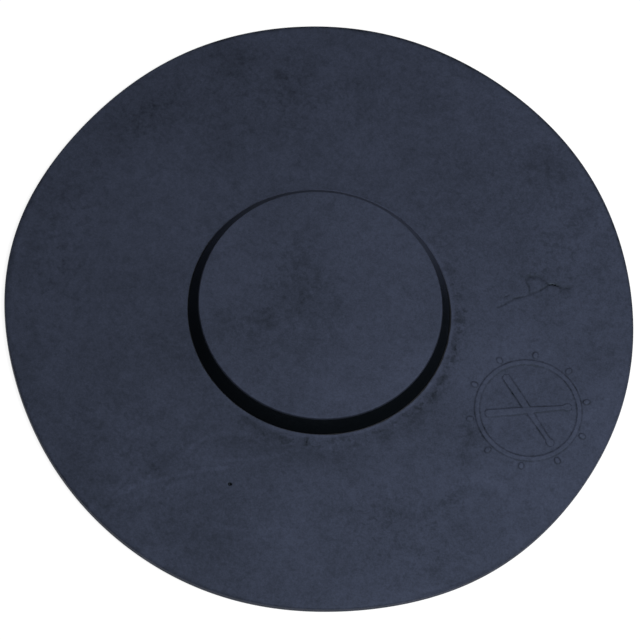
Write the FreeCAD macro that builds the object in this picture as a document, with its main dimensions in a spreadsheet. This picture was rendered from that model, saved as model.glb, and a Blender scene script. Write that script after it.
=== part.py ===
import FreeCAD, Part
import Sketcher
import os
from FreeCAD import Placement, Rotation, Vector

# Practice pad that lies on a snare drum: a wide moulded rubber mat with a raised playing disc.
#
# Five pieces, all fixed to each other:
#   base_mat       the wide flexible mat, with a seat in each face and a moulded drum emblem
#   disc_bond      the rubber-cement film on the floor of the upper seat
#   playing_disc   the raised disc that the sticks strike, with a sloping wall
#   plate_bond     the cement film above the plate
#   contact_plate  the thin steel disc let into the underside, which rests on the drumhead
#
# Frame: millimetres, +Z up, origin at the middle of the mat's underside.
# The disc and the plate share one axis, a little to the -X side of the mat's middle.

# Driving dimensions, in millimetres, degrees or pieces.
SIZES = {
    "mat_diameter": 330.0,
    "mat_thickness": 5.0,
    "rim_top_round": 1.0,
    "rim_foot_round": 0.8,
    "disc_shift": -1.45,
    "disc_base_diameter": 138.0,
    "disc_top_diameter": 127.4,
    "disc_rise": 9.5,
    "disc_top_round": 0.3,
    "disc_seat_depth": 1.5,
    "disc_seat_gap": 0.25,
    "plate_diameter": 100.0,
    "plate_thickness": 1.0,
    "plate_chamfer": 0.25,
    "plate_seat_gap": 0.2,
    "film_thickness": 0.25,
    "film_inset": 0.5,
    "emblem_reach": 120.0,
    "emblem_bearing": -15.0,
    "emblem_relief": 0.4,
    "hoop_outer_radius": 28.0,
    "hoop_width": 2.2,
    "lug_circle_radius": 31.2,
    "lug_radius": 1.4,
    "lug_count": 10,
    "stick_length": 46.0,
    "stick_angle": 32.0,
    "butt_width": 3.6,
    "neck_width": 2.0,
    "tip_radius": 1.8,
}
PARTS_FOLDER = "parts"
SAME_MM = 0.001

doc = FreeCAD.newDocument("practice_pad")


# ---------------------------------------------------------------- the sheet

def make_sheet():
    """The spreadsheet that every feature reads: one row per size, its alias on the value."""
    sheet = doc.addObject("Spreadsheet::Sheet", "Sizes")
    for row, (alias, value) in enumerate(SIZES.items(), start=1):
        sheet.set(f"A{row}", alias)
        sheet.set(f"B{row}", str(value))
        sheet.setAlias(f"B{row}", alias)
    doc.recompute()


# ------------------------------------------------------------- small helpers

def cell(expression):
    """An expression over the sheet's aliases, with each alias written as Sizes.alias."""
    words = expression.replace("(", "( ").replace(")", " )").split()
    return " ".join(f"Sizes.{word}" if word in SIZES else word for word in words)


def value_of(expression):
    """The number that an expression over the sheet's aliases stands for."""
    probe = doc.addObject("App::FeaturePython", "probe")
    probe.addProperty("App::PropertyFloat", "Value")
    probe.setExpression("Value", cell(expression))
    doc.recompute()
    value = probe.Value
    doc.removeObject(probe.Name)
    return value


def make_body(name):
    """An empty body whose label names its STEP file."""
    body = doc.addObject("PartDesign::Body", name)
    body.Label = name
    return body


def make_sketch(body, name, role="XY_Plane", **offsets):
    """A sketch on one of the body's own planes; offsets x, y and z shift it and turn rotates it."""
    plane = next(f for f in body.Origin.OriginFeatures if f.Role == role)
    sketch = body.newObject("Sketcher::SketchObject", name)
    sketch.AttachmentSupport = (plane, [""])
    sketch.MapMode = "FlatFace"
    if "turn" in offsets:
        sketch.AttachmentOffset = Placement(Vector(), Rotation(Vector(0, 0, 1), 1))
        sketch.setExpression("AttachmentOffset.Rotation.Angle", cell(offsets.pop("turn")))
    for axis, expression in offsets.items():
        sketch.setExpression(f"AttachmentOffset.Base.{axis}", cell(expression))
    return sketch


def hold(sketch, constraint, expression):
    """Adds a dimension to a sketch and ties it to the sheet."""
    number = sketch.addConstraint(constraint)
    sketch.setExpression(f"Constraints[{number}]", cell(expression))


def add_circle(sketch, radius, reach=None):
    """A circle about the sketch's origin, or with its centre out along the sketch's X axis."""
    centre = Vector(value_of(reach) if reach else 0, 0, 0)
    circle = sketch.addGeometry(Part.Circle(centre, Vector(0, 0, 1), value_of(radius)), False)
    if reach:
        sketch.addConstraint(Sketcher.Constraint("PointOnObject", circle, 3, -1))
        hold(sketch, Sketcher.Constraint("DistanceX", -1, 1, circle, 3, centre.x), reach)
    else:
        sketch.addConstraint(Sketcher.Constraint("Coincident", circle, 3, -1, 1))
    hold(sketch, Sketcher.Constraint("Radius", circle, value_of(radius)), radius)


def add_outline(sketch, corners):
    """A closed outline of straight lines; each corner is held at its distances along X and Y."""
    points = [Vector(value_of(x), value_of(y), 0) for x, y in corners]
    ends = points[1:] + points[:1]
    lines = [
        sketch.addGeometry(Part.LineSegment(start, end), False)
        for start, end in zip(points, ends)
    ]
    for line, following in zip(lines, lines[1:] + lines[:1]):
        sketch.addConstraint(Sketcher.Constraint("Coincident", line, 2, following, 1))
    for line, point, (x, y) in zip(lines, points, corners):
        hold(sketch, Sketcher.Constraint("DistanceX", -1, 1, line, 1, point.x), x)
        hold(sketch, Sketcher.Constraint("DistanceY", -1, 1, line, 1, point.y), y)


def add_feature(body, kind, name, sketch, length, reversed_side=False):
    """A pad or a pocket of a sketch, as deep as the expression says."""
    feature = body.newObject(f"PartDesign::{kind}", name)
    feature.Profile = sketch
    feature.Reversed = reversed_side
    feature.setExpression("Length", cell(length))
    doc.recompute()
    return feature


def circle_edges(body, radius, z):
    """Names of the round edges of that radius at that height."""
    wanted_radius = value_of(radius)
    wanted_z = value_of(z)
    found = []
    for number, edge in enumerate(body.Shape.Edges, start=1):
        curve = edge.Curve
        if not isinstance(curve, Part.Circle):
            continue
        if abs(curve.Radius - wanted_radius) < SAME_MM and abs(curve.Center.z - wanted_z) < SAME_MM:
            found.append(f"Edge{number}")
    return found


def dress(body, kind, name, edges, size_name, size):
    """A fillet or a chamfer on the named edges of the body's latest feature."""
    base = body.Tip
    feature = body.newObject(f"PartDesign::{kind}", name)
    feature.Base = (base, edges)
    feature.setExpression(size_name, cell(size))
    doc.recompute()


# ------------------------------------------------------------------ base mat

def make_base_mat():
    """The moulded mat: a round slab, a seat above for the disc, one below for the plate."""
    body = make_body("base_mat")
    slab = make_sketch(body, "mat_outline")
    add_circle(slab, "mat_diameter / 2")
    add_feature(body, "Pad", "mat_slab", slab, "mat_thickness")
    top_rim = circle_edges(body, "mat_diameter / 2", "mat_thickness")
    dress(body, "Fillet", "rim_top", top_rim, "Radius", "rim_top_round")
    foot_rim = circle_edges(body, "mat_diameter / 2", "0")
    dress(body, "Fillet", "rim_foot", foot_rim, "Radius", "rim_foot_round")

    disc_seat = make_sketch(body, "disc_seat_outline", x="disc_shift", z="mat_thickness")
    add_circle(disc_seat, "disc_base_diameter / 2 + disc_seat_gap")
    add_feature(body, "Pocket", "disc_seat", disc_seat, "disc_seat_depth")

    plate_seat = make_sketch(body, "plate_seat_outline", x="disc_shift")
    add_circle(plate_seat, "plate_diameter / 2 + plate_seat_gap")
    seat_depth = "plate_thickness + film_thickness"
    add_feature(body, "Pocket", "plate_seat", plate_seat, seat_depth, reversed_side=True)
    add_emblem(body)
    return body


def add_emblem(body):
    """A generic drum seen from above, in low relief: a hoop, its lugs and two crossed sticks."""
    middle = {
        "x": "emblem_reach * cos( emblem_bearing )",
        "y": "emblem_reach * sin( emblem_bearing )",
        "z": "mat_thickness",
    }
    hoop = make_sketch(body, "hoop_outline", turn="emblem_bearing", **middle)
    add_circle(hoop, "hoop_outer_radius")
    add_circle(hoop, "hoop_outer_radius - hoop_width")
    add_feature(body, "Pad", "hoop", hoop, "emblem_relief")

    lug = make_sketch(body, "lug_outline", turn="emblem_bearing", **middle)
    add_circle(lug, "lug_radius", reach="lug_circle_radius")
    first_lug = add_feature(body, "Pad", "lug", lug, "emblem_relief")
    lugs = body.newObject("PartDesign::PolarPattern", "lugs")
    lugs.Originals = [first_lug]
    lugs.Axis = (lug, ["N_Axis"])
    lugs.Angle = 360
    lugs.setExpression("Occurrences", cell("lug_count"))
    body.Tip = lugs
    doc.recompute()

    for name, sign in (("left", "-"), ("right", "+")):
        turn = f"emblem_bearing {sign} stick_angle"
        shaft = make_sketch(body, f"{name}_shaft_outline", turn=turn, **middle)
        add_outline(shaft, [
            ("0 - stick_length / 2", "0 - butt_width / 2"),
            ("stick_length / 2", "0 - neck_width / 2"),
            ("stick_length / 2", "neck_width / 2"),
            ("0 - stick_length / 2", "butt_width / 2"),
        ])
        add_feature(body, "Pad", f"{name}_shaft", shaft, "emblem_relief")
        tip = make_sketch(body, f"{name}_tip_outline", turn=turn, **middle)
        add_circle(tip, "tip_radius", reach="stick_length / 2")
        add_feature(body, "Pad", f"{name}_tip", tip, "emblem_relief")


# -------------------------------------------------------------- playing disc

def make_playing_disc():
    """The raised disc: an upright foot down in the seat, then a sloping wall to the flat top."""
    body = make_body("playing_disc")
    section = make_sketch(body, "disc_section", role="XZ_Plane")
    foot = "mat_thickness - disc_seat_depth + film_thickness"
    top = "mat_thickness + disc_rise"
    add_outline(section, [
        ("0", foot),
        ("disc_base_diameter / 2", foot),
        ("disc_base_diameter / 2", "mat_thickness"),
        ("disc_top_diameter / 2", top),
        ("0", top),
    ])
    turned = body.newObject("PartDesign::Revolution", "disc_turned")
    turned.Profile = section
    turned.ReferenceAxis = (section, ["V_Axis"])
    turned.Angle = 360
    doc.recompute()
    top_edge = circle_edges(body, "disc_top_diameter / 2", top)
    dress(body, "Fillet", "disc_top_edge", top_edge, "Radius", "disc_top_round")
    return body


# ------------------------------------------------------- films and the plate

def make_film(name, z, diameter):
    """A thin cement film, set in a little from the edge of the piece it holds."""
    body = make_body(name)
    outline = make_sketch(body, f"{name}_outline", z=z)
    add_circle(outline, f"{diameter} / 2 - film_inset")
    add_feature(body, "Pad", f"{name}_layer", outline, "film_thickness")
    return body


def make_contact_plate():
    """The flat steel disc, flush with the mat's underside, its lower edge broken."""
    body = make_body("contact_plate")
    outline = make_sketch(body, "plate_outline")
    add_circle(outline, "plate_diameter / 2")
    add_feature(body, "Pad", "plate_blank", outline, "plate_thickness")
    lower_edge = circle_edges(body, "plate_diameter / 2", "0")
    dress(body, "Chamfer", "plate_edge", lower_edge, "Size", "plate_chamfer")
    return body


# -------------------------------------------------------------------- output

def check_and_write(bodies):
    """Stops on any failed object or bad solid, then writes one STEP file per piece."""
    doc.recompute()
    for thing in doc.Objects:
        if {"Invalid", "Error"} & set(thing.State):
            raise RuntimeError(f"{thing.Name} failed: {thing.State}")
    os.makedirs(PARTS_FOLDER, exist_ok=True)
    for body in bodies:
        shape = body.Shape
        if shape.isNull() or not shape.isValid() or len(shape.Solids) != 1:
            raise RuntimeError(f"{body.Label} is not one valid solid")
        shape.exportStep(f"{PARTS_FOLDER}/{body.Label}.step")
        box = shape.BoundBox
        print(
            f"{body.Label}: {shape.Volume / 1000:.2f} cm3, z {box.ZMin:.2f} to {box.ZMax:.2f}, "
            f"x {box.XMin:.2f} to {box.XMax:.2f}"
        )


make_sheet()
base_mat = make_base_mat()
disc_bond = make_film("disc_bond", "mat_thickness - disc_seat_depth", "disc_base_diameter")
playing_disc = make_playing_disc()
plate_bond = make_film("plate_bond", "plate_thickness", "plate_diameter")
contact_plate = make_contact_plate()
for shifted in (disc_bond, playing_disc, plate_bond, contact_plate):
    shifted.setExpression("Placement.Base.x", cell("disc_shift"))
check_and_write([base_mat, disc_bond, playing_disc, plate_bond, contact_plate])
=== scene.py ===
import math
import bpy
import numpy as np
from mathutils import Matrix, Vector


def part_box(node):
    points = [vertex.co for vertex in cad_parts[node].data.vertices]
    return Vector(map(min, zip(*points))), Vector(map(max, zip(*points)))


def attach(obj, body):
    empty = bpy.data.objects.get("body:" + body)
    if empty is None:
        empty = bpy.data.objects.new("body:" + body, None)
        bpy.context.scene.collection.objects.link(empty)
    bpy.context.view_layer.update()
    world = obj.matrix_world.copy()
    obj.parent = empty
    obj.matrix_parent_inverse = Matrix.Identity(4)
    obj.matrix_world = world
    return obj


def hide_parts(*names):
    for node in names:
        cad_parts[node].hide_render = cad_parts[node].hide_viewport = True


# Looks of a moulded rubber drum practice pad. Everything is in metres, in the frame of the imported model:
# +Z up, origin at the middle of the underside. MM turns a size in millimetres into metres.

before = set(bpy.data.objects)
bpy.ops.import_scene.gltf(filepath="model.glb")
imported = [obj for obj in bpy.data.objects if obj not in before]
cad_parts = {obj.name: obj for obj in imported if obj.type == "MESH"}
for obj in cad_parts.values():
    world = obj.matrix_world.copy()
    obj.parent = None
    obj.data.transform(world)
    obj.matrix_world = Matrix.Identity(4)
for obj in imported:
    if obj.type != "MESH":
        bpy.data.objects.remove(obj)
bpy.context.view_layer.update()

MM = 0.001
TAU = 2 * math.pi


# ------------------------------------------------------------ sizes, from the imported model

_, mat_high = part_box("base_mat")
disc_low, disc_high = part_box("playing_disc")
film_low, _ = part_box("disc_bond")
plate_low, plate_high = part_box("contact_plate")
_, plate_film_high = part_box("plate_bond")

# The emblem stands this far above the mat's top; the disc's wall leans in this far; and the two seats
# are this much wider than what lies in them.
RELIEF = 0.4 * MM
WALL_LEAN = 5.3 * MM
DISC_GAP = 0.25 * MM
PLATE_GAP = 0.2 * MM

MAT_TOP = mat_high.z - RELIEF
MAT_RADIUS = mat_high.x
AXIS_X = (disc_low.x + disc_high.x) / 2
DISC_TOP = disc_high.z
DISC_FOOT_RADIUS = (disc_high.x - disc_low.x) / 2
DISC_TOP_RADIUS = DISC_FOOT_RADIUS - WALL_LEAN
SEAT_FLOOR = film_low.z
SEAT_RADIUS = DISC_FOOT_RADIUS + DISC_GAP
PLATE_SEAT_RADIUS = (plate_high.x - plate_low.x) / 2 + PLATE_GAP
PLATE_SEAT_CEILING = plate_film_high.z

EMBLEM_BEARING = math.radians(-15)
EMBLEM_REACH = 120 * MM
EMBLEM_AT = np.array([math.cos(EMBLEM_BEARING), math.sin(EMBLEM_BEARING)]) * EMBLEM_REACH
# Its sizes in mm: one stick lies over the other.
EMBLEM_HEIGHT = 0.34
UPPER_STICK_HEIGHT = 0.4
HOOP_RADIUS = 26.9
HOOP_HALF_WIDTH = 1.1
STICK_TURN = math.radians(32)
STICK_LENGTH = 46.0
STICK_HALF_WIDTH = 1.8
STICK_TAPER = 0.8
LUG_COUNT = 10
LUG_REACH = 31.2
LUG_HALF_LENGTH, LUG_HALF_WIDTH = 1.6, 1.2
# The side of a raised line, from its top outwards: mm past its edge, share of its height, tone. The dark
# tones down the side and at the foot are painted shade.
RELIEF_SIDE = [
    (-0.6, 1.0, 0.3), (-0.25, 0.96, -0.1), (0, 0.8, -1.0), (0.2, 0.35, -1.8), (0.42, 0.12, -1.8),
    (0.75, 0.07, -0.8), (1.15, 0.06, 0),
]
# How far below the mat's top, in mm, the foot of the relief is buried.
SUNK = -0.5
# The half width, in mm, that the top of a raised line keeps at its pointed ends.
LEAST_HALF_WIDTH = 0.05

# The mat's rim: the rounding of its upper and lower edges, and the line left where the mould parts.
RIM_ROUND = 1.0 * MM
RIM_FOOT_ROUND = 0.8 * MM
PARTING_HEIGHT = 1.9 * MM
PARTING_REACH = 0.18 * MM
PARTING_HALF_WIDTH = 0.2 * MM
# It is a little out of round: (waves round the rim, height in mm, bearing of a crest in degrees). The rings
# of its mesh are true circles within ROUND_WITHIN, and move over to the disc's axis between SHIFT_RADII.
RIM_WAVES = [(2, 0.37, 50), (3, 0.48, -42), (4, 0.21, 0), (5, 0.59, 35), (6, 0.30, 5), (8, 0.26, -3)]
ROUND_WITHIN = 100 * MM
SHIFT_RADII = 72 * MM, 110 * MM

# The mat's mesh is fine round the disc's foot, and between these radii and bearings, in degrees, for the
# marks. Steps along the radius are in metres and round the mat in degrees.
FOOT_FINE_TO = 74 * MM
MARKS_FINE = 88 * MM, 133 * MM
FINE_SPANS = [(10, 24), (253.4, 256.2)]
FINE_STEP, PLAIN_STEP = 0.45 * MM, 1.35 * MM
FINE_TURN, PLAIN_TURN = 0.25, 0.8
# The flat underside needs few rings.
UNDERSIDE_RADII = [r * MM for r in (158, 140, 120, 100, 80, 62)]
PLATE_SEAT_BEVEL = 0.3 * MM

# The mat's waves grow from nothing at the disc's seat to their full height this far, in mm, outside it.
CALM_WIDTH = 12

# The disc's upper edge and how far its top is worn hollow, and out to where.
DISC_EDGE_ROUND = 0.3 * MM
HOLLOW_DEPTH = 0.18 * MM
HOLLOW_RADIUS = 58 * MM
# Its top has the mat's waves, this much lower and from this far, in mm, to the side.
DISC_WAVE_SHARE = 0.3
DISC_WAVE_SHIFT = 70

# The line of cement round the disc's foot, in mm: its usual, least and greatest half width, how much each
# wave of its edge adds, and how far its middle lies outside the foot and below the mat's top.
BEAD_HALF_WIDTH = 0.32
BEAD_LEAST, BEAD_GREATEST = 0.2, 0.5
BEAD_WAVES = (2, 3, 5, 9, 17, 31, 47)
BEAD_WAVE_HEIGHT = 0.05
BEAD_OUT = 0.1
BEAD_SUNK = 0.15
# It is fullest towards this bearing.
BEAD_BEARING = math.radians(-30)


# ------------------------------------------------------------ marks left by moulding and use, and painted light and shade

# Creases from moulding, as x, y and half width in mm: a wandering line, the deeper stretch of it, the loop
# it makes and a short stray line. Their depth is in mm too.
CREASE = [
    [
        (90.0, 22.6, 0.55), (92.8, 24.5, 0.5), (97.8, 29.5, 0.65), (103.9, 32.4, 0.5), (105.8, 34.0, 0.7),
        (109.1, 36.0, 0.6), (112.3, 38.8, 0.6), (114.3, 41.2, 0.7), (117.0, 42.0, 1.0), (119.7, 41.6, 1.2),
        (122.6, 40.7, 1.6), (125.2, 41.8, 1.2),
    ],
    [(114.0, 41.2, 0.25), (116.6, 41.9, 0.7), (119.4, 41.4, 0.4)],
    [
        (105.1, 34.3, 0.45), (104.6, 37.3, 0.5), (102.6, 39.8, 0.6), (102.3, 42.0, 1.0), (103.1, 43.4, 1.1),
        (105.4, 43.9, 0.8), (108.5, 44.6, 0.9), (110.9, 43.4, 0.8), (113.8, 42.0, 0.6),
    ],
    [(92.7, 29.2, 0.35), (94.6, 30.7, 0.5)],
]
CREASE_DEPTH = 0.2
# How much darker the creases are painted: painted shade in them.
CREASE_SHADE = 1.6
# A small oval pit, in mm: its middle, half sizes, turn, darkness, which is painted shade in its hollow, and
# depth.
PIT = (-28.4, -104.6)
PIT_HALF_LENGTH = 1.05
PIT_HALF_WIDTH = 0.72
PIT_TURN = math.radians(13)
PIT_SHADE = 7
PIT_DEPTH = 0.9
# Round the disc's foot, each with its strength, its distance from the seat and its width in mm: a thin
# pale line, a painted highlight strongest on the side towards the light; a darker ring outside it, painted
# shade where grime spots also gather, strongest nearer the front; and a dark ring of painted shade close to
# the foot on the far side.
FOOT_HIGHLIGHT, FOOT_HIGHLIGHT_AT, FOOT_HIGHLIGHT_WIDTH = 1.3, 1.1, 0.75
FOOT_BEARING = math.radians(-35)
FOOT_SHADE, FOOT_SHADE_AT, FOOT_SHADE_WIDTH = 0.45, 5, 3.5
FOOT_SHADE_BEARING = math.radians(-75)
FAR_FOOT_SHADE_WIDTH = 3
# The rim is painted darker, painted shade on its rounding, from and fully at these distances from the edge,
# in mm, and more so on the far side.
RIM_SHADE = 0.8
RIM_SHADE_FROM, RIM_SHADE_AT = 1.9, 0.8
FAR_RIM_SHADE = 1.6
# The disc's wall holds little bloom, and more of it on the far side, where the extra is a painted sheen.
WALL_BLOOM = 0.02
FAR_WALL_SHEEN = 0.95
# The disc's top holds a little more bloom than the mat.
DISC_TONE = 0.12
# The bloom ends this far outside the edge of the disc's top, in mm.
BLOOM_EDGE = 0.0, 0.2
# The mat's underside, below and within these, in mm, has none of the marks.
UNDERSIDE_HEIGHT = 0.3
UNDERSIDE_MARGIN = 1.5

# Places where the grey bloom is rubbed away, in mm: x, y, length, width, bearing in degrees, strength.
# A strength below 0 is a place where it lies thicker.
MAT_RUBS = [
    (-114, 88, 26, 13, 45, 0.75),
    (-72, 134, 14, 9, 30, 0.9),
    (-42, 127, 20, 12, 0, 0.5),
    (-145, 38, 18, 8, 70, 0.7),
    (-156, 10, 26, 4, 88, 0.6),
    (-144, -49, 16, 6, 100, 0.5),
    (102, 108, 17, 12, -40, 0.8),
    (10, 153, 14, 6, 0, 0.5),
    (-67, -101, 15, 8, -30, 0.6),
    (-104, -116, 22, 9, -45, 0.6),
    (-47, -137, 30, 10, -25, 0.6),
    (84, -90, 5, 2.6, 35, 1.8),
    (53, -102, 14, 7, -20, 0.2),
    (89, -50, 6, 8, 10, 1.1),
    (87, -62, 5.5, 7, 10, 1.3),
    (150, 8, 10, 8, 0, 0.6),
    (-20, -80, 26, 5, 0, 0.8),
    (20, -82, 20, 4, 5, 0.6),
    (56, -55, 14, 5, 45, 0.8),
    (-60, -55, 20, 5, -45, 0.4),
    (124, 94, 12, 16, -30, 0.6),
    (139, 62, 10, 14, 0, 0.6),
    (-79, -134, 14, 8, -40, 0.8),
    (-56, -148, 12, 6, -25, 0.4),
    (-4, -157, 22, 5, 0, 0.4),
    (92, -108, 14, 8, 30, 0.6),
    (101, -76, 12, 7, 0, 0.5),
    (30, -92, 20, 10, 0, -0.7),
    (-17, -98, 14, 8, 0, -0.4),
    (136, 30, 14, 8, 0, -0.5),
    (66, -34, 3.4, 2.8, 50, 0.6),
    (46, -61, 4.2, 3.0, 20, 0.9),
    (59, -46, 3.4, 4.4, 40, 0.65),
    (69, -15, 2.4, 4.4, 10, 0.8),
    (71, -3, 2.2, 4.4, 0, 0.6),
    (-14, -73, 5, 2.8, 0, 1.3),
    (-28, -68, 6, 2.6, -20, 0.9),
    (23, -77, 8, 4, 0, 0.8),
    (54, -86, 12, 10, 0, -0.6),
    (112, -40, 9, 9, 0, 0.4),
    (115, -64, 8, 5, 0, -0.6),
    (90, -84, 5, 4, 35, 0.8),
    (94, 97, 12, 8, -40, 0.4),
    (-128, -44, 7, 5, 0, 0.6),
    (-113, -23, 8, 5, 0, 0.4),
    (-94, -94, 9, 5, 0, 0.5),
    (-144, 55, 6, 14, 30, -0.5),
    (42, 147, 9, 6, -15, -0.6),
    (-19, 147, 10, 6, 0, -0.5),
    (-43, 142, 7, 6, 0, 0.4),
    (-25, -134, 16, 4, -5, 0.5),
    (107, 40, 5, 3, 0, -0.4),
    (141, -36, 7, 6, 0, -0.5),
    (-2, -144, 14, 8, 0, 0.4),
    (77, -134, 12, 6, 20, 0.5),
    (64, 129, 12, 6, -30, 0.5),
    (78, 111, 9, 6, -30, 0.3),
    (12, 77, 9, 3, -10, 0.5),
    (40, 69, 7, 4, -30, 0.6),
    (10, -77, 6, 3, 0, 0.5),
]
DISC_RUBS = [
    (-16, 21, 16, 9, 20, 0.35),
    (-12, 0, 12, 14, 0, 0.7),
    (-28, -15, 9, 6, 20, 0.6),
    (-35, -31, 9, 8, 40, 0.7),
    (34, 14, 16, 22, 0, -0.35),
    (34, -43, 20, 5, 35, 0.5),
    (5, 0, 10, 9, 0, 0.5),
    (-25, 12, 8, 8, 0, -0.3),
    (-40, -12, 6, 6, 0, -0.3),
    (-12, -19, 6, 5, 0, -0.3),
    (-26, -46, 9, 5, -30, 0.5),
    (-43, -21, 12, 7, 0, 0.5),
    (-5, -24, 16, 7, 20, 0.6),
    (-14, 38, 18, 8, 0, 0.3),
    (15, -56, 16, 5, 0, 0.5),
    (-44, 24, 8, 10, -20, 0.4),
    (50, -22, 12, 5, 35, -0.4),
]
# Places where small dark spots gather, as for the rubs.
MAT_SPOTS = [
    (90, -56, 7, 13, 12, 0.25),
    (84, -90, 6, 3, 35, 0.3),
    (-114, 86, 16, 12, 30, 0.35),
    (-40, 120, 60, 22, 10, 0.35),
    (-140, 0, 14, 60, 0, 0.35),
    (120, 60, 20, 40, -20, 0.3),
    (60, -110, 40, 18, -20, 0.4),
    (-80, -100, 40, 20, -40, 0.3),
]
DISC_SPOTS = [
    (-16, 10, 20, 24, 0, 0.45),
    (-34, -18, 16, 12, 0, 0.3),
]
# How strongly they show everywhere else.
SPOTS_ANYWHERE = 0.25
# Pale scuffs, in mm: the two ends, the sideways bow, the width and the strength.
MAT_SCUFFS = [
    ((-98, -135), (-28, -95), 5, 1.0, 1.2),
    ((-90, -138), (-40, -104), 4, 0.8, 0.9),
    ((-80, -120), (-52, -100), 3, 0.8, 0.9),
    ((-104, -128), (-70, -118), 2, 0.9, 0.8),
    ((-55, -94), (-22, -76), 6, 0.9, 0.8),
    ((-48, -94), (-3, -81), -3, 0.9, 0.8),
    ((-38, -128), (2, -122), -3, 0.9, 0.6),
    ((96, -74), (112, -78), 2, 3.0, 1.0),
]
DISC_SCUFFS = [
    ((20, -48), (52, -28), -2, 2.0, 0.35),
    ((8, -52), (40, -40), -2, 1.5, 0.3),
    ((-8, 44), (30, 50), 3, 2.5, 0.2),
]
# The bloom is painted denser towards the right, and by this share of that towards the front, as painted
# light that brightens the pad towards the key light: mm of travel that would double it.
PAINTED_LIGHT_RISE = 1100
PAINTED_LIGHT_FRONT_SHARE = 0.35


def soft_step(low, high, value):
    """0 below low, 1 above high, and a smooth rise between."""
    t = np.clip((value - low) / (high - low), 0, 1)
    return t * t * (3 - 2 * t)


def oval(x, y, mark):
    """How strongly an oval mark covers each point."""
    mx, my, length, width, bearing, strength = mark
    c, s = math.cos(math.radians(bearing)), math.sin(math.radians(bearing))
    along = (x - mx) * c + (y - my) * s
    across = (y - my) * c - (x - mx) * s
    return strength * np.exp(-((along / length) ** 2 + (across / width) ** 2))


def line_mark(x, y, points):
    """How strongly a soft-edged line covers each point: its points are x, y and half width, in mm."""
    mark = np.zeros(np.shape(x))
    for (ax, ay, wide), (bx, by, next_wide) in zip(points, points[1:]):
        run = (bx - ax) ** 2 + (by - ay) ** 2
        t = np.clip(((x - ax) * (bx - ax) + (y - ay) * (by - ay)) / run, 0, 1)
        away = np.hypot(x - ax - t * (bx - ax), y - ay - t * (by - ay))
        mark = np.maximum(mark, np.exp(-((away / (wide + t * (next_wide - wide))) ** 2)))
    return mark


def bowed_line(start, end, bow, width, steps=8):
    """Points of a line_mark along a shallow arc between two ends."""
    (ax, ay), (bx, by) = start, end
    length = math.hypot(bx - ax, by - ay)
    nx, ny = -(by - ay) / length, (bx - ax) / length
    line = []
    for i in range(steps + 1):
        t = i / steps
        lift = 4 * bow * t * (1 - t)
        line.append((ax + (bx - ax) * t + nx * lift, ay + (by - ay) * t + ny * lift, width))
    return line


def marks(x, y, rubs, scuffs):
    """Tone at points in mm: below 0 where bloom is rubbed off, above 0 where it is scuffed pale."""
    tone = np.zeros(np.shape(x))
    for mark in rubs:
        tone -= oval(x, y, mark)
    for start, end, bow, width, strength in scuffs:
        tone += strength * line_mark(x, y, bowed_line(start, end, bow, width))
    return tone


# ------------------------------------------------------------ meshes

def add_mesh(name, points, faces, sharp_angle=40):
    """A smooth-shaded object at the origin from points in metres."""
    mesh = bpy.data.meshes.new(name)
    mesh.from_pydata([tuple(p) for p in points], [], faces)
    mesh.validate()
    mesh.polygons.foreach_set("use_smooth", [True] * len(mesh.polygons))
    mesh.set_sharp_from_angle(angle=math.radians(sharp_angle))
    piece = bpy.data.objects.new(name, mesh)
    bpy.context.scene.collection.objects.link(piece)
    return piece


def turned_surface(rings, bearings):
    """Points and faces of a closed turned form: rings of equal length between two single end points."""
    first, last = rings[0][0], rings[-1][0]
    count = len(bearings)
    points = [first]
    for ring in rings[1:-1]:
        points.extend(ring)
    points.append(last)
    faces = []
    for j in range(count):
        k = (j + 1) % count
        faces.append((0, 1 + j, 1 + k))
        for i in range(len(rings) - 3):
            a = 1 + i * count
            b = a + count
            faces.append((a + j, b + j, b + k, a + k))
        a = 1 + (len(rings) - 3) * count
        faces.append((a + j, len(points) - 1, a + k))
    return points, faces


def arc(centre_r, centre_z, radius, start, end, steps):
    """Radius and height of points round an arc, its angles in degrees from straight out."""
    turns = [math.radians(start + (end - start) * i / steps) for i in range(steps + 1)]
    return [(centre_r + radius * math.cos(a), centre_z + radius * math.sin(a)) for a in turns]


def graded(start, end, step):
    """Evenly spaced values from start up to but not including end, about one step apart."""
    count = max(1, round((end - start) / step))
    return [start + (end - start) * i / count for i in range(count)]


def out_of_round(bearing):
    """How far the rim stands out or in at a bearing, in metres."""
    return MM * sum(h * np.cos(n * (bearing - math.radians(at))) for n, h, at in RIM_WAVES)


def waviness(x, y):
    """The mat's slight unevenness, in mm, at points in mm."""
    return (
        0.07 * np.sin(x / 31 + 0.6 * np.sin(y / 44) + 1.0) * np.cos(y / 27 - 0.4)
        + 0.045 * np.sin((x + 1.3 * y) / 19 + 2.1)
        + 0.03 * np.cos((x - 0.7 * y) / 12 + 0.5)
    )


def pit_mark(x, y):
    """How deep in the small oval pit points in mm lie, from 0 to 1."""
    across, up = x - PIT[0], y - PIT[1]
    along = (across * math.cos(PIT_TURN) + up * math.sin(PIT_TURN)) / PIT_HALF_LENGTH
    aside = (up * math.cos(PIT_TURN) - across * math.sin(PIT_TURN)) / PIT_HALF_WIDTH
    return np.exp(-((along * along + aside * aside) ** 2))


def mat_relief(x, y):
    """Height of the mat's top above its plane, in mm, at points in mm."""
    from_axis = np.hypot(x - AXIS_X / MM, y)
    calm = soft_step(SEAT_RADIUS / MM, SEAT_RADIUS / MM + CALM_WIDTH, from_axis)
    height = waviness(x, y) * calm
    for stroke in CREASE:
        height -= CREASE_DEPTH * line_mark(x, y, stroke)
    height -= PIT_DEPTH * pit_mark(x, y)
    return height


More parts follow.
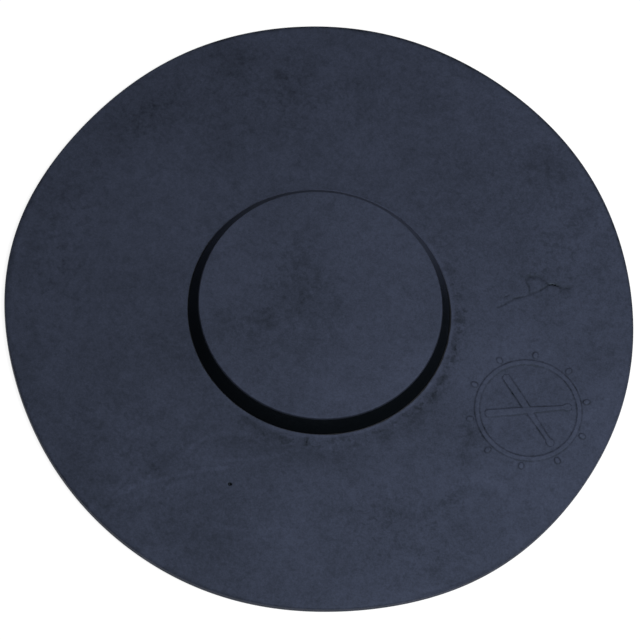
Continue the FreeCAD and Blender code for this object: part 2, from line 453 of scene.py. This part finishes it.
def make_mat():
    """The wide moulded mat: seat, top, rounded rim, underside and plate seat in one closed form."""
    flat_end = MAT_RADIUS - RIM_ROUND
    fine_from, fine_to = MARKS_FINE
    # Two close rings keep the seat's edge crisp.
    radii = [SEAT_RADIUS + 0.02 * MM]
    radii += graded(SEAT_RADIUS + 0.3 * MM, FOOT_FINE_TO, FINE_STEP)
    radii += graded(FOOT_FINE_TO, fine_from, PLAIN_STEP)
    radii += graded(fine_from, fine_to, FINE_STEP)
    radii += graded(fine_to, flat_end, PLAIN_STEP)
    profile = [(0, SEAT_FLOOR), (SEAT_RADIUS * 0.5, SEAT_FLOOR), (SEAT_RADIUS, SEAT_FLOOR)]
    profile += [(SEAT_RADIUS, (SEAT_FLOOR + MAT_TOP) / 2)]
    profile += [(r, MAT_TOP) for r in radii]
    profile += arc(flat_end, MAT_TOP - RIM_ROUND, RIM_ROUND, 90, 0, 7)
    profile += [(MAT_RADIUS + PARTING_REACH * 2 / 3, PARTING_HEIGHT + PARTING_HALF_WIDTH)]
    profile += [(MAT_RADIUS + PARTING_REACH, PARTING_HEIGHT)]
    profile += [(MAT_RADIUS, PARTING_HEIGHT - PARTING_HALF_WIDTH)]
    profile += arc(MAT_RADIUS - RIM_FOOT_ROUND, RIM_FOOT_ROUND, RIM_FOOT_ROUND, 0, -90, 4)
    profile += [(r, 0) for r in UNDERSIDE_RADII]
    profile += [(PLATE_SEAT_RADIUS + PLATE_SEAT_BEVEL, 0), (PLATE_SEAT_RADIUS, PLATE_SEAT_BEVEL)]
    profile += [(PLATE_SEAT_RADIUS, PLATE_SEAT_CEILING), (PLATE_SEAT_RADIUS / 2, PLATE_SEAT_CEILING)]
    profile += [(0, PLATE_SEAT_CEILING)]

    bearings = []
    next_starts = [start for start, _ in FINE_SPANS[1:]] + [FINE_SPANS[0][0] + 360]
    for (start, end), next_start in zip(FINE_SPANS, next_starts):
        bearings += graded(start, end, FINE_TURN) + graded(end, next_start, PLAIN_TURN)
    bearings = np.radians(bearings)
    rings = []
    for r, z in profile:
        shift = AXIS_X * (1 - soft_step(*SHIFT_RADII, r))
        spread = out_of_round(bearings) * soft_step(ROUND_WITHIN, MAT_RADIUS, r)
        x = shift + (r + spread) * np.cos(bearings)
        y = (r + spread) * np.sin(bearings)
        height = np.full(len(bearings), z)
        if z == MAT_TOP and r > SEAT_RADIUS:
            height = height + mat_relief(x / MM, y / MM) * MM
        rings.append(np.column_stack([x, y, height]))
    points, faces = turned_surface(rings, bearings)
    return add_mesh("moulded_mat", points, faces)


def make_disc():
    """The raised disc: foot in the seat, sloping wall, rounded edge and a top worn very slightly hollow."""
    wall_facing = math.degrees(math.atan2(WALL_LEAN, DISC_TOP - MAT_TOP))
    edge_r = DISC_TOP_RADIUS - DISC_EDGE_ROUND * 0.6
    foot = disc_low.z
    profile = [(0, DISC_TOP)]
    profile += [(r, DISC_TOP) for r in graded(1.5 * MM, edge_r, 1.5 * MM)]
    profile += arc(edge_r, DISC_TOP - DISC_EDGE_ROUND, DISC_EDGE_ROUND, 90, wall_facing, 6)
    start_r, start_z = profile[-1]
    steps = 9
    for i in range(1, steps + 1):
        t = i / steps
        profile.append((start_r + (DISC_FOOT_RADIUS - start_r) * t, start_z + (MAT_TOP - start_z) * t))
    profile += [(DISC_FOOT_RADIUS, foot), (DISC_FOOT_RADIUS / 2, foot), (0, foot)]
    bearings = np.array(graded(0, TAU, math.radians(1.25)))
    rings = []
    for r, z in profile:
        x = AXIS_X + r * np.cos(bearings)
        y = r * np.sin(bearings)
        height = np.full(len(bearings), z)
        if z == DISC_TOP:
            height -= HOLLOW_DEPTH * (1 - soft_step(0, HOLLOW_RADIUS, r))
            if r < edge_r * 0.97:
                height += DISC_WAVE_SHARE * MM * waviness(x / MM + DISC_WAVE_SHIFT, y / MM)
        rings.append(np.column_stack([x, y, height]))
    points, faces = turned_surface(rings, bearings)
    return add_mesh("moulded_disc", points, faces)


def make_cement_bead():
    """The thin uneven line of cement that was squeezed out round the disc's foot."""
    rng = np.random.default_rng(7)
    count, sides = 360, 8
    bearings = np.linspace(0, TAU, count, endpoint=False)
    size = np.full(count, BEAD_HALF_WIDTH)
    for n in BEAD_WAVES:
        size += BEAD_WAVE_HEIGHT * rng.uniform(0.4, 1.2) * np.cos(n * bearings + rng.uniform(0, TAU))
    shown = 0.75 + 0.6 * soft_step(0, 1, np.cos(bearings - BEAD_BEARING))
    size = np.clip(size, BEAD_LEAST, BEAD_GREATEST) * shown * MM
    points, faces = [], []
    for j, (a, s) in enumerate(zip(bearings, size)):
        for i in range(sides):
            t = TAU * i / sides
            r = DISC_FOOT_RADIUS + BEAD_OUT * MM + s * math.cos(t)
            z = MAT_TOP - BEAD_SUNK * MM + 0.9 * s * math.sin(t)
            points.append((AXIS_X + r * math.cos(a), r * math.sin(a), z))
            k = (j + 1) % count
            n = (i + 1) % sides
            faces.append((j * sides + i, k * sides + i, k * sides + n, j * sides + n))
    piece = add_mesh("cement_line", points, faces)
    # It is paler on the far side.
    far_side_pale = soft_step(0.2, 0.9, np.sin(np.repeat(bearings, sides)))
    piece.data.attributes.new("far_side_pale", "FLOAT", "POINT").data.foreach_set("value", far_side_pale)
    return piece


def swept_relief(relief, path, widths, height, closed=False):
    """Adds a low raised line to a relief: a path in mm, the half width at each of its points, one height.

    A relief is three lists: points, faces and the tone of each point. Where the line's side meets the
    mat it keeps a dark outline of painted shade, on a skirt that runs out flush with the mat.
    """
    points, faces, shade_tones = relief
    side = RELIEF_SIDE + [(RELIEF_SIDE[-1][0], SUNK / height, 0)]
    start, count, ring_size = len(points), len(path), 2 * len(side)
    for i, ((px, py), width) in enumerate(zip(path, widths)):
        before = path[i - 1] if closed or i else path[0]
        after = path[(i + 1) % count] if closed or i < count - 1 else path[-1]
        tx, ty = after[0] - before[0], after[1] - before[1]
        length = math.hypot(tx, ty)
        nx, ny = -ty / length, tx / length
        ring = [(-max(LEAST_HALF_WIDTH, width + out), lift, tone) for out, lift, tone in reversed(side)]
        ring += [(max(LEAST_HALF_WIDTH, width + out), lift, tone) for out, lift, tone in side]
        for off, lift, tone in ring:
            points.append((px + nx * off, py + ny * off, height * lift))
            shade_tones.append(tone)
    for i in range(count if closed else count - 1):
        a = start + i * ring_size
        b = start + ((i + 1) % count) * ring_size
        for j in range(ring_size):
            k = (j + 1) % ring_size
            faces.append((a + j, b + j, b + k, a + k))
    if not closed:
        last = start + (count - 1) * ring_size
        faces.append(tuple(range(start, start + ring_size)))
        faces.append(tuple(range(last + ring_size - 1, last - 1, -1)))


def stick_outline(turn):
    """Path and half widths of one stick, butt to tip, in mm about the emblem's middle."""
    c, s = math.cos(turn), math.sin(turn)
    path, widths = [], []
    steps = 70
    for i in range(steps + 1):
        t = i / steps
        along = STICK_LENGTH * (t - 0.5)
        butt = math.sqrt(max(0, 1 - ((0.03 - t) / 0.03) ** 2)) if t < 0.03 else 1
        body = STICK_HALF_WIDTH - STICK_TAPER * soft_step(0.3, 0.92, t)
        tip = STICK_HALF_WIDTH * math.sqrt(max(0, 1 - ((t - 0.95) / 0.052) ** 2)) if t > 0.9 else 0
        path.append((along * c, along * s))
        widths.append(max(0.3, butt * body if t < 0.93 else 0, tip))
    return path, widths


def oval_boss(relief, bearing, reach, length, width, height, steps=28):
    """Adds a low raised oval to a relief: its middle at a bearing and reach, its two half sizes in mm."""
    points, faces, shade_tones = relief
    side = RELIEF_SIDE + [(RELIEF_SIDE[-1][0], SUNK / height, 0)]
    c, s = math.cos(bearing), math.sin(bearing)
    middle = len(points)
    points.append((reach * c, reach * s, height))
    shade_tones.append(RELIEF_SIDE[0][2])
    # Its side carries the same tones as a raised line's, the dark ones being painted shade.
    for out, lift, tone in side:
        for i in range(steps):
            t = TAU * i / steps
            along, across = reach + (length + out) * math.cos(t), (width + out) * math.sin(t)
            points.append((along * c - across * s, along * s + across * c, height * lift))
            shade_tones.append(tone)
    for i in range(steps):
        k = (i + 1) % steps
        faces.append((middle, middle + 1 + i, middle + 1 + k))
        for j in range(len(side) - 1):
            a = middle + 1 + j * steps
            faces.append((a + i, a + steps + i, a + steps + k, a + k))
    foot = middle + 1 + (len(side) - 1) * steps
    faces.append(tuple(range(foot + steps - 1, foot - 1, -1)))


def make_emblem():
    """The moulded emblem: a drum seen from above, as a hoop, its lugs and two crossed sticks."""
    relief = [], [], []
    bearings = [TAU * i / 180 for i in range(180)]
    hoop = [(HOOP_RADIUS * math.cos(a), HOOP_RADIUS * math.sin(a)) for a in bearings]
    swept_relief(relief, hoop, [HOOP_HALF_WIDTH] * len(hoop), EMBLEM_HEIGHT, closed=True)
    for i in range(LUG_COUNT):
        bearing = EMBLEM_BEARING + TAU * i / LUG_COUNT
        oval_boss(relief, bearing, LUG_REACH, LUG_HALF_LENGTH, LUG_HALF_WIDTH, EMBLEM_HEIGHT)
    for side, height in ((-1, EMBLEM_HEIGHT), (1, UPPER_STICK_HEIGHT)):
        swept_relief(relief, *stick_outline(EMBLEM_BEARING + side * STICK_TURN), height)
    points, faces, shade_tones = relief
    flat = np.array(points)
    flat[:, :2] += EMBLEM_AT / MM
    flat[:, 2] += waviness(flat[:, 0], flat[:, 1])
    flat *= MM
    flat[:, 2] += MAT_TOP
    return add_mesh("moulded_emblem", flat, faces, sharp_angle=75), np.array(shade_tones)


def paint(piece, rubs, scuffs, spots, own_tone=0, is_mat=False, wall_cover=1.0):
    """Stores three attributes on a piece's points.

    tone is wear and scuffs, plus the piece's own tone (for the emblem, painted shade along its raised
    lines), spots is where small dark spots gather, and cover is how much bloom it holds, times painted
    light: a painted sheen on the far side of the disc's wall and a brightening towards the right front. The
    mat's tone also gets a painted highlight and rings of painted shade round the disc's foot, and painted
    shade on the rim and in the crease and the pit.
    """
    count = len(piece.data.vertices)
    places = np.zeros(count * 3)
    piece.data.vertices.foreach_get("co", places)
    x, y, z = places.reshape(-1, 3).T / MM
    tone = marks(x, y, rubs, scuffs) + own_tone
    gathered = SPOTS_ANYWHERE + sum(oval(x, y, mark) for mark in spots)
    bearing = np.arctan2(y, x)
    from_axis = np.hypot(x - AXIS_X / MM, y)
    if is_mat:
        away = from_axis - SEAT_RADIUS / MM
        facing = np.cos(bearing - FOOT_BEARING)
        # A thin pale line round the foot: a painted highlight, strongest towards the light.
        line = np.exp(-(((away - FOOT_HIGHLIGHT_AT) / FOOT_HIGHLIGHT_WIDTH) ** 2))
        tone += FOOT_HIGHLIGHT * line * soft_step(-0.3, 1.0, facing)
        # A darker ring outside it, strongest nearer the front: painted shade round the foot of the raised
        # disc, where grime spots also gather.
        foot_shade_ring = np.exp(-(((away - FOOT_SHADE_AT) / FOOT_SHADE_WIDTH) ** 2))
        tone -= FOOT_SHADE * foot_shade_ring * soft_step(-0.2, 0.45, np.cos(bearing - FOOT_SHADE_BEARING))
        # A dark ring close to the foot on the far side: painted shade.
        far_foot_shade = np.exp(-((away / FAR_FOOT_SHADE_WIDTH) ** 2))
        tone -= FOOT_SHADE * far_foot_shade * soft_step(0.75, 1.0, np.sin(bearing))
        gathered += foot_shade_ring * soft_step(0, 0.8, facing)
        rim = MAT_RADIUS / MM
        # The rim's rounding is painted darker, more on the far side: painted shade.
        rim_shade = soft_step(rim - RIM_SHADE_FROM, rim - RIM_SHADE_AT, np.hypot(x, y))
        tone -= RIM_SHADE * rim_shade * (1 + FAR_RIM_SHADE * soft_step(-0.2, 0.9, np.sin(bearing)))
        # The creases are painted darker: painted shade in them.
        for stroke in CREASE:
            tone -= CREASE_SHADE * line_mark(x, y, stroke)
        # The pit is painted darker: painted shade in its hollow.
        tone -= PIT_SHADE * pit_mark(x, y)
        beneath = (z < UNDERSIDE_HEIGHT) & (np.hypot(x, y) < rim - UNDERSIDE_MARGIN)
        tone = np.where(beneath, 0, tone)
    topside = 1 - soft_step(*BLOOM_EDGE, from_axis - DISC_TOP_RADIUS / MM)
    # The far side of the disc's wall is painted lighter: a painted sheen.
    wall_bloom_and_sheen = np.minimum(wall_cover + FAR_WALL_SHEEN * soft_step(0.2, 1.0, np.sin(bearing)), 1)
    # Bloom painted denser towards the right front: painted light that brightens the pad towards the key
    # light.
    cover_and_light = (wall_bloom_and_sheen + (1 - wall_bloom_and_sheen) * topside) * (1 + (x - PAINTED_LIGHT_FRONT_SHARE * y) / PAINTED_LIGHT_RISE)
    for name, values in (("tone", tone), ("spots", gathered), ("cover_and_light", cover_and_light)):
        piece.data.attributes.new(name, "FLOAT", "POINT").data.foreach_set("value", values)


# ------------------------------------------------------------ materials

RUBBER_BLACK = (0.0010, 0.0016, 0.0015, 1)
BLOOM_GREY = (0.0576, 0.0682, 0.1114, 1)
CEMENT_PALE = (0.042, 0.050, 0.082, 1)
# How much bloom one step of tone takes away or adds.
MARK_SHARE = 0.123
# Layers of patchiness in the bloom: size of the patches, detail, twist and strength.
BLOOM_PATCHES = [
    (60 * MM, 1, 0.5, 0.26),
    (22 * MM, 2, 1.2, 0.18),
    (9 * MM, 2, 1.0, 0.15),
    (3.6 * MM, 1, 0.8, 0.17),
    (1.6 * MM, 1, 0.0, 0.22),
    (0.8 * MM, 1, 0.0, 0.23),
]
# Layers of small spots: size, the noise levels at which a spot is full and gone, and strength.
SPOT_LAYERS = [
    (4.5 * MM, 0.36, 0.50, -0.17),
    (2.4 * MM, 0.32, 0.42, -0.12),
    (3.4 * MM, 0.70, 0.62, 0.08),
]


class Surface:
    """A material with short calls for its nodes; coordinates are the object's own, in metres."""

    def __init__(self, name):
        self.material = bpy.data.materials.new(name)
        self.material.use_nodes = True
        self.tree = self.material.node_tree
        self.shader = self.tree.nodes["Principled BSDF"]
        self.place = self.add("ShaderNodeTexCoord").outputs["Object"]

    def add(self, kind, **settings):
        node = self.tree.nodes.new(kind)
        for key, value in settings.items():
            setattr(node, key, value)
        return node

    def feed(self, socket, value):
        if isinstance(value, bpy.types.NodeSocket):
            self.tree.links.new(value, socket)
        else:
            socket.default_value = value

    def noise(self, size, detail=3.0, rough=0.5, twist=0.0, place=None):
        """Noise whose blobs are about that many metres across."""
        node = self.add("ShaderNodeTexNoise")
        self.feed(node.inputs["Vector"], place or self.place)
        node.inputs["Scale"].default_value = 1 / size
        node.inputs["Detail"].default_value = detail
        node.inputs["Roughness"].default_value = rough
        node.inputs["Distortion"].default_value = twist
        return node.outputs["Fac"]

    def math(self, operation, a, b=0.0, clamp=False):
        node = self.add("ShaderNodeMath", operation=operation, use_clamp=clamp)
        self.feed(node.inputs[0], a)
        self.feed(node.inputs[1], b)
        return node.outputs["Value"]

    def spread(self, value, low, high, to_low=0.0, to_high=1.0, smooth=True):
        """Maps low..high onto to_low..to_high."""
        node = self.add("ShaderNodeMapRange", interpolation_type="SMOOTHSTEP" if smooth else "LINEAR")
        self.feed(node.inputs["Value"], value)
        for key, number in zip(("From Min", "From Max", "To Min", "To Max"), (low, high, to_low, to_high)):
            node.inputs[key].default_value = number
        return node.outputs["Result"]

    def blend(self, factor, first, second):
        node = self.add("ShaderNodeMix", data_type="RGBA")
        self.feed(node.inputs["Factor"], factor)
        self.feed(node.inputs["A"], first)
        self.feed(node.inputs["B"], second)
        return node.outputs["Result"]

    def attribute(self, name):
        return self.add("ShaderNodeAttribute", attribute_name=name).outputs["Fac"]

    def bump(self, height, strength, distance):
        node = self.add("ShaderNodeBump")
        node.inputs["Strength"].default_value = strength
        node.inputs["Distance"].default_value = distance
        self.feed(node.inputs["Height"], height)
        self.feed(self.shader.inputs["Normal"], node.outputs["Normal"])


def rubber(name):
    """Blue-black moulded rubber under a patchy grey bloom, with the marks kept in the tone attribute."""
    s = Surface(name)
    bloom = 0.5
    for size, detail, twist, strength in BLOOM_PATCHES:
        patch = s.math("MULTIPLY", s.math("SUBTRACT", s.noise(size, detail, 0.55, twist), 0.5), strength)
        bloom = s.math("ADD", patch, bloom)
    for size, bare, full, strength in SPOT_LAYERS:
        spots = s.spread(s.noise(size, 1, 0.5, 0.5), bare, full, strength, 0.0)
        bloom = s.math("ADD", s.math("MULTIPLY", spots, s.attribute("spots")), bloom)
    # Marks are ragged: their strength varies from half to a third more than full.
    ragged = s.spread(s.noise(6 * MM, 1.5, 0.5, 0.8), 0.32, 0.68, 0.5, 1.35, smooth=False)
    # The tone attribute also holds painted highlights and painted shade.
    marks_and_shade = s.math("MULTIPLY", s.math("MULTIPLY", s.attribute("tone"), ragged), MARK_SHARE)
    bloom = s.math("ADD", bloom, marks_and_shade, clamp=True)
    # The cover attribute holds painted light too: a painted sheen on the disc's far wall and a brighter
    # right front.
    bloom = s.math("MULTIPLY", bloom, s.attribute("cover_and_light"), clamp=True)
    # So the base colour carries painted light and shade along with the bloom.
    s.feed(s.shader.inputs["Base Color"], s.blend(bloom, RUBBER_BLACK, BLOOM_GREY))
    # Bare rubber has a dull gloss, and bloom takes it away.
    s.feed(s.shader.inputs["Roughness"], s.spread(bloom, 0, 0.35, 0.19, 0.62, smooth=False))
    s.shader.inputs["Specular IOR Level"].default_value = 0.18
    s.shader.inputs["Specular Tint"].default_value = (0.6, 0.76, 1.0, 1)
    grain = s.math("ADD", s.noise(0.6 * MM, 2), s.math("MULTIPLY", s.noise(3 * MM, 3), 2.0))
    s.bump(grain, 0.25, 0.15 * MM)
    return s.material


def cement():
    """Dried black rubber cement."""
    s = Surface("rubber_cement")
    tone = s.noise(2.5 * MM, detail=4, rough=0.6)
    bare = s.blend(tone, (0.003, 0.0034, 0.004, 1), (0.012, 0.014, 0.018, 1))
    s.feed(s.shader.inputs["Base Color"], s.blend(s.attribute("far_side_pale"), bare, CEMENT_PALE))
    s.feed(s.shader.inputs["Roughness"], s.spread(tone, 0.3, 0.7, 0.5, 0.65))
    s.shader.inputs["Specular IOR Level"].default_value = 0.1
    s.bump(s.noise(0.8 * MM, detail=3), 0.4, 0.1 * MM)
    return s.material


def spun_steel():
    """Dull steel with fine turning lines round the plate's middle, smudges and a little rust."""
    s = Surface("spun_steel")
    split = s.add("ShaderNodeSeparateXYZ")
    s.feed(split.inputs["Vector"], s.place)
    centred = s.math("SUBTRACT", split.outputs["X"], AXIS_X)
    squares = s.math("ADD", s.math("POWER", centred, 2.0), s.math("POWER", split.outputs["Y"], 2.0))
    radius = s.math("SQRT", squares)
    ring = s.add("ShaderNodeCombineXYZ")
    s.feed(ring.inputs["X"], radius)
    lines = s.noise(0.35 * MM, detail=3, rough=0.7, place=ring.outputs["Vector"])
    smudge = s.noise(14 * MM, detail=4, rough=0.6, twist=1.2)
    # Rust creeps in from the rim.
    damp = s.math("ADD", s.noise(2.2 * MM, detail=5, rough=0.7), s.math("MULTIPLY", radius, 3.4))
    rust = s.spread(damp, 0.74, 0.86)
    steel = s.blend(smudge, (0.34, 0.34, 0.34, 1), (0.62, 0.62, 0.61, 1))
    s.feed(s.shader.inputs["Base Color"], s.blend(rust, steel, (0.17, 0.07, 0.03, 1)))
    s.feed(s.shader.inputs["Metallic"], s.spread(rust, 0, 1, 1.0, 0.1))
    roughness = s.math("ADD", s.spread(lines, 0.2, 0.8, 0.26, 0.46), s.math("MULTIPLY", rust, 0.3))
    s.feed(s.shader.inputs["Roughness"], roughness)
    s.bump(lines, 0.3, 0.05 * MM)
    return s.material


# The floor shines of its own, so that it stays white without washing out the pad.
FLOOR_GLOW = 0.88


def studio_floor():
    """A plain pale floor that stays near white."""
    s = Surface("pale_floor")
    tone = s.noise(0.4, detail=2)
    s.feed(s.shader.inputs["Base Color"], s.blend(tone, (0.19, 0.19, 0.19, 1), (0.22, 0.22, 0.22, 1)))
    s.shader.inputs["Roughness"].default_value = 0.9
    s.shader.inputs["Specular IOR Level"].default_value = 0.1
    s.shader.inputs["Emission Color"].default_value = (1, 1, 1, 1)
    s.shader.inputs["Emission Strength"].default_value = FLOOR_GLOW
    return s.material


def dress(piece, material, *nodes, slot=None):
    """Gives a new piece its one material, its body and the CAD nodes it stands for; the slot it is given is
    not used.
    """
    piece.data.materials.clear()
    piece.data.materials.append(material)
    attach(piece, "root")
    if nodes:
        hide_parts(*nodes)


# ------------------------------------------------------------ light and camera

# One soft light, high over the right front, in a room that is brighter near the horizon.
KEY_PLACE = (0.36, -0.17, 1.10)
KEY_SIDE = 0.6
KEY_WATTS = 13.1
HORIZON_GLOW = 0.5
OVERHEAD_GLOW = 0.05
# The elevations between which the room's light fades from one glow to the other.
HORIZON_FROM = math.radians(8)
HORIZON_TO = math.radians(45)
FLOOR_REACH = 6.0
FLOOR_DROP = 0.02 * MM
VIEW_ELEVATION = math.radians(67.88)
VIEW_ROLL = math.radians(11.73)
VIEW_DISTANCE = 2.4
VIEW_LENS = 256.9
# How far the middle of the picture lies to the right of the origin and above it.
AIM_RIGHT = -0.7 * MM
AIM_UP = -2.7 * MM


def add_camera():
    """A long lens high in front of the pad, rolled a little, as the pad is seen from above."""
    data = bpy.data.cameras.new("camera")
    data.lens = VIEW_LENS
    data.sensor_width = 36
    data.clip_end = 30
    camera = bpy.data.objects.new("camera", data)
    bpy.context.scene.collection.objects.link(camera)
    level_right = Vector((1, 0, 0))
    back = Vector((0, -math.cos(VIEW_ELEVATION), math.sin(VIEW_ELEVATION)))
    level_up = back.cross(level_right)
    right = level_right * math.cos(VIEW_ROLL) + level_up * math.sin(VIEW_ROLL)
    up = back.cross(right)
    turn = Matrix((right, up, back)).transposed()
    aim = right * AIM_RIGHT + up * AIM_UP
    camera.matrix_world = Matrix.Translation(aim + back * VIEW_DISTANCE) @ turn.to_4x4()
    bpy.context.scene.camera = camera


def add_softbox(name, place, side, watts):
    """A square soft light that faces the pad."""
    data = bpy.data.lights.new(name, "AREA")
    data.shape = "SQUARE"
    data.size = side
    data.energy = watts
    lamp = bpy.data.objects.new(name, data)
    lamp.location = place
    lamp.rotation_euler = (-Vector(place)).to_track_quat("-Z", "Y").to_euler()
    bpy.context.scene.collection.objects.link(lamp)


def set_world():
    """Pale all round to the camera; to everything else, bright near the horizon and dim overhead."""
    world = bpy.data.worlds.new("studio")
    world.use_nodes = True
    tree = world.node_tree
    direction = tree.nodes.new("ShaderNodeTexCoord")
    split = tree.nodes.new("ShaderNodeSeparateXYZ")
    tree.links.new(direction.outputs["Generated"], split.inputs["Vector"])
    level = tree.nodes.new("ShaderNodeMapRange")
    level.interpolation_type = "SMOOTHSTEP"
    tree.links.new(split.outputs["Z"], level.inputs["Value"])
    level.inputs["From Min"].default_value = math.sin(HORIZON_FROM)
    level.inputs["From Max"].default_value = math.sin(HORIZON_TO)
    level.inputs["To Min"].default_value = HORIZON_GLOW
    level.inputs["To Max"].default_value = OVERHEAD_GLOW
    room = tree.nodes["Background"]
    room.inputs["Color"].default_value = (0.95, 0.97, 1.0, 1)
    tree.links.new(level.outputs["Result"], room.inputs["Strength"])
    pale = tree.nodes.new("ShaderNodeBackground")
    pale.inputs["Color"].default_value = (1, 1, 1, 1)
    path = tree.nodes.new("ShaderNodeLightPath")
    mix = tree.nodes.new("ShaderNodeMixShader")
    tree.links.new(path.outputs["Is Camera Ray"], mix.inputs[0])
    tree.links.new(room.outputs["Background"], mix.inputs[1])
    tree.links.new(pale.outputs["Background"], mix.inputs[2])
    tree.links.new(mix.outputs["Shader"], tree.nodes["World Output"].inputs["Surface"])
    bpy.context.scene.world = world
    bpy.context.scene.view_settings.view_transform = "Standard"
    bpy.context.scene.view_settings.look = "None"


def add_floor():
    """A wide flat floor a hair below the pad."""
    sides = (-1, -1), (1, -1), (1, 1), (-1, 1)
    corners = [(x * FLOOR_REACH, y * FLOOR_REACH, -FLOOR_DROP) for x, y in sides]
    floor = add_mesh("floor", corners, [(0, 1, 2, 3)])
    floor.data.materials.append(studio_floor())


mat = make_mat()
paint(mat, MAT_RUBS, MAT_SCUFFS, MAT_SPOTS, is_mat=True)
disc = make_disc()
paint(disc, DISC_RUBS, DISC_SCUFFS, DISC_SPOTS, own_tone=DISC_TONE, wall_cover=WALL_BLOOM)
emblem, emblem_shade = make_emblem()
# The emblem's own tone holds painted shade along the foot of its raised lines.
paint(emblem, MAT_RUBS, MAT_SCUFFS, MAT_SPOTS, own_tone=emblem_shade)
bead = make_cement_bead()

rubber_look = rubber("moulded_rubber")
cement_look = cement()
steel_look = spun_steel()
dress(mat, rubber_look, "base_mat", slot="mat_rubber")
dress(disc, rubber_look, "playing_disc", slot="disc_rubber")
dress(emblem, rubber_look, slot="mat_rubber")
dress(bead, cement_look, slot="rubber_cement")
for node, look in (("disc_bond", cement_look), ("plate_bond", cement_look), ("contact_plate", steel_look)):
    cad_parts[node].data.materials.clear()
    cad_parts[node].data.materials.append(look)

add_floor()
add_camera()
add_softbox("key", KEY_PLACE, KEY_SIDE, KEY_WATTS)
set_world()
